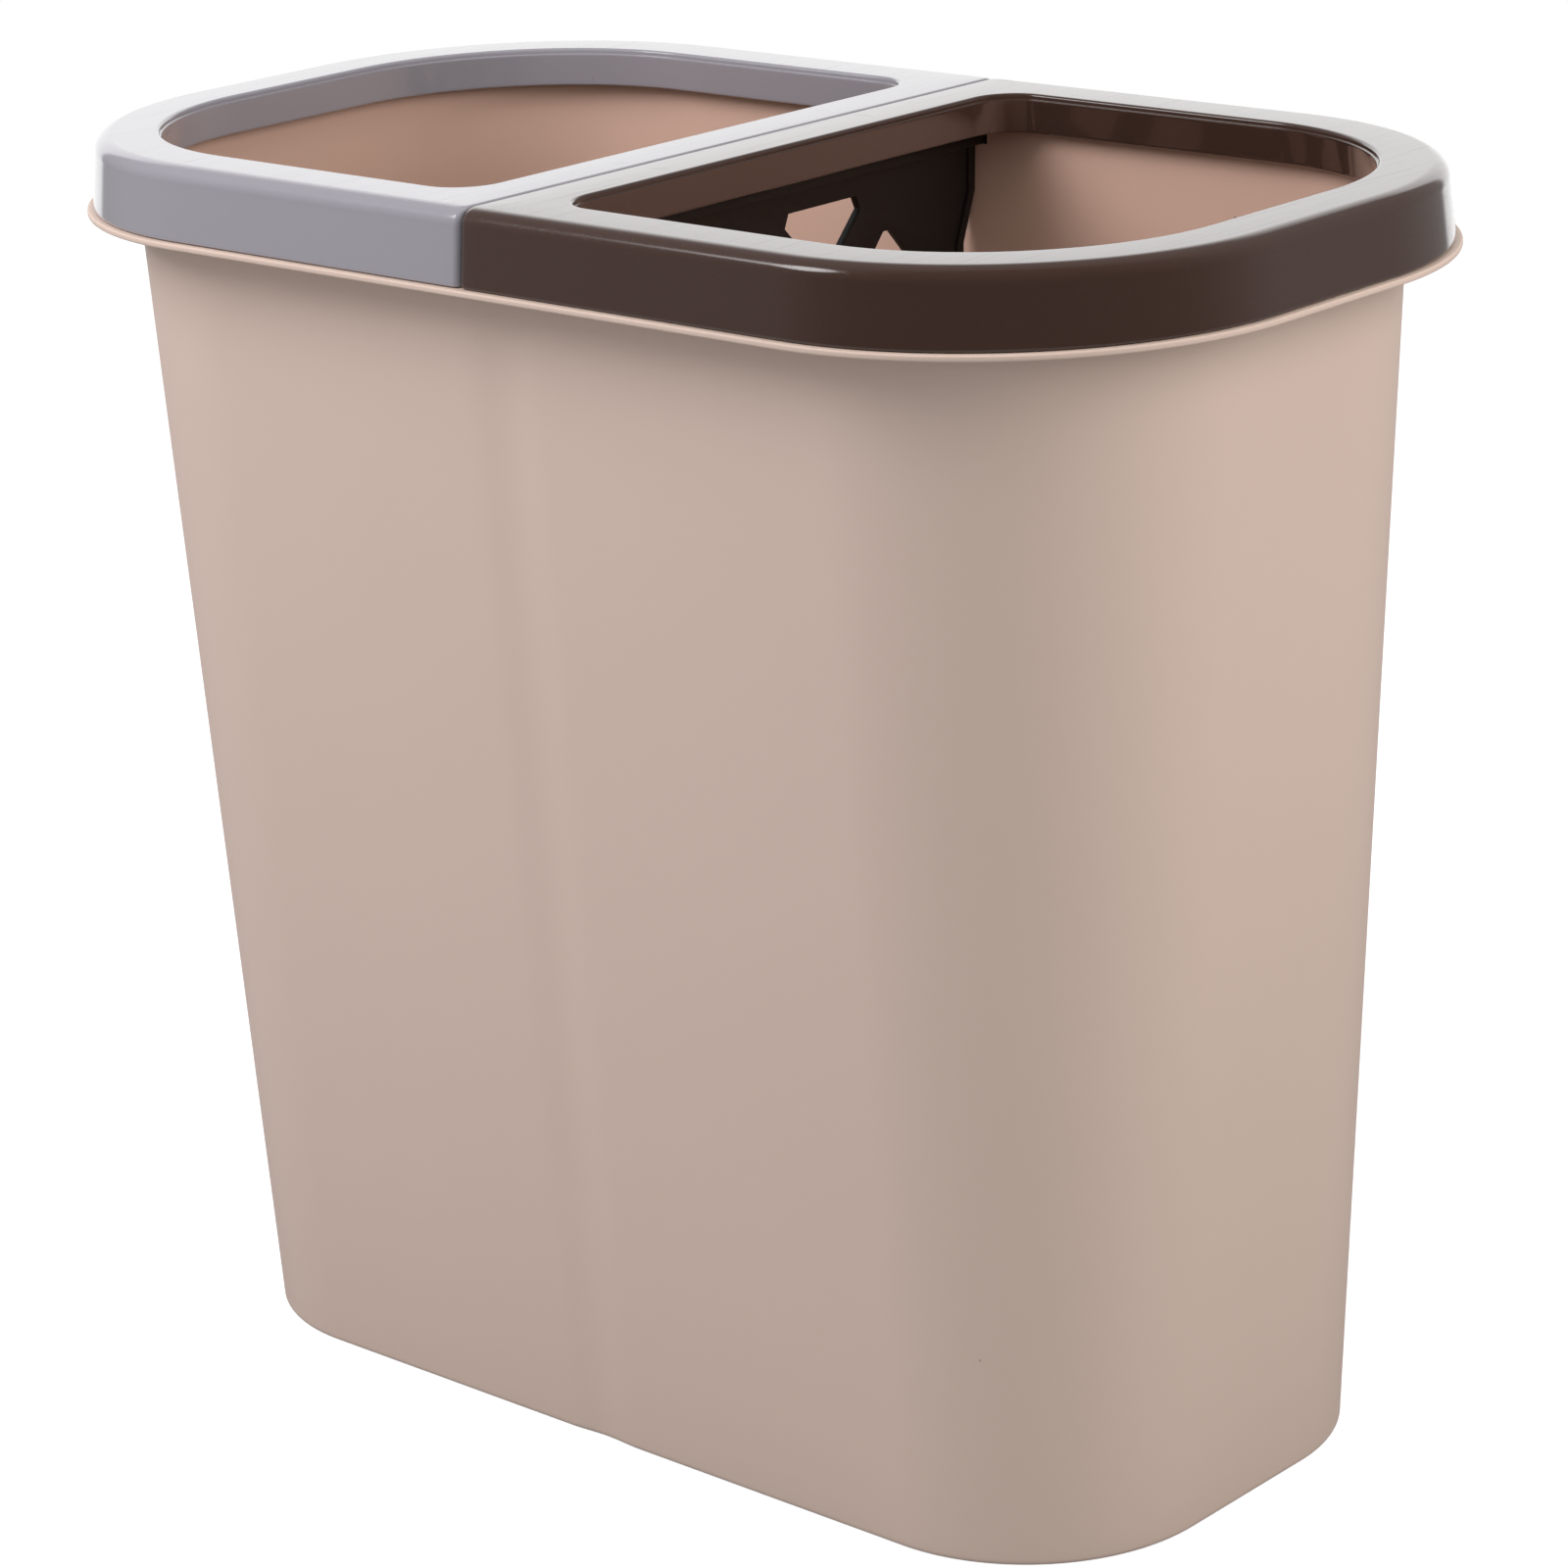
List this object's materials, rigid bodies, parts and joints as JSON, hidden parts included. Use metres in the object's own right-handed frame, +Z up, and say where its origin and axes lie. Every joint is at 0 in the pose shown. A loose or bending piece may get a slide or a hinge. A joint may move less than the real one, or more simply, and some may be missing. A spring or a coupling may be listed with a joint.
{
  "type": "double recycling bin",
  "caption": "Tapered plastic recycling bin with rounded ends, a lattice divider across the middle, and grey and brown press rings that clamp a bag in each half.",
  "frame": {"origin": "middle of the base, on the plane the bin stands on", "axes": "+X along the bin towards the brown ring, +Y across it towards the back long wall, +Z up"},
  "size_m": [0.4098, 0.2348, 0.37],
  "materials": {
    "body_plastic": "fine satin",
    "divider_plastic": "satin",
    "grey_ring_plastic": "polished",
    "brown_ring_plastic": "polished"
  },
  "bodies": {
    "bin": {"bin_body": "body_plastic"},
    "divider": {"lattice_divider": "divider_plastic"},
    "grey_ring": {"grey_press_ring": "grey_ring_plastic"},
    "brown_ring": {"brown_press_ring": "brown_ring_plastic"}
  },
  "joints": [
    {"name": "divider_lift", "type": "slide", "parent": "bin", "child": "divider", "axis": [0, 0, 1], "range_m": [0, 0.37]},
    {"name": "grey_ring_lift", "type": "slide", "parent": "divider", "child": "grey_ring", "axis": [0, 0, 1], "range_m": [0, 0.08]},
    {"name": "brown_ring_lift", "type": "slide", "parent": "divider", "child": "brown_ring", "axis": [0, 0, 1], "range_m": [0, 0.08]}
  ]
}
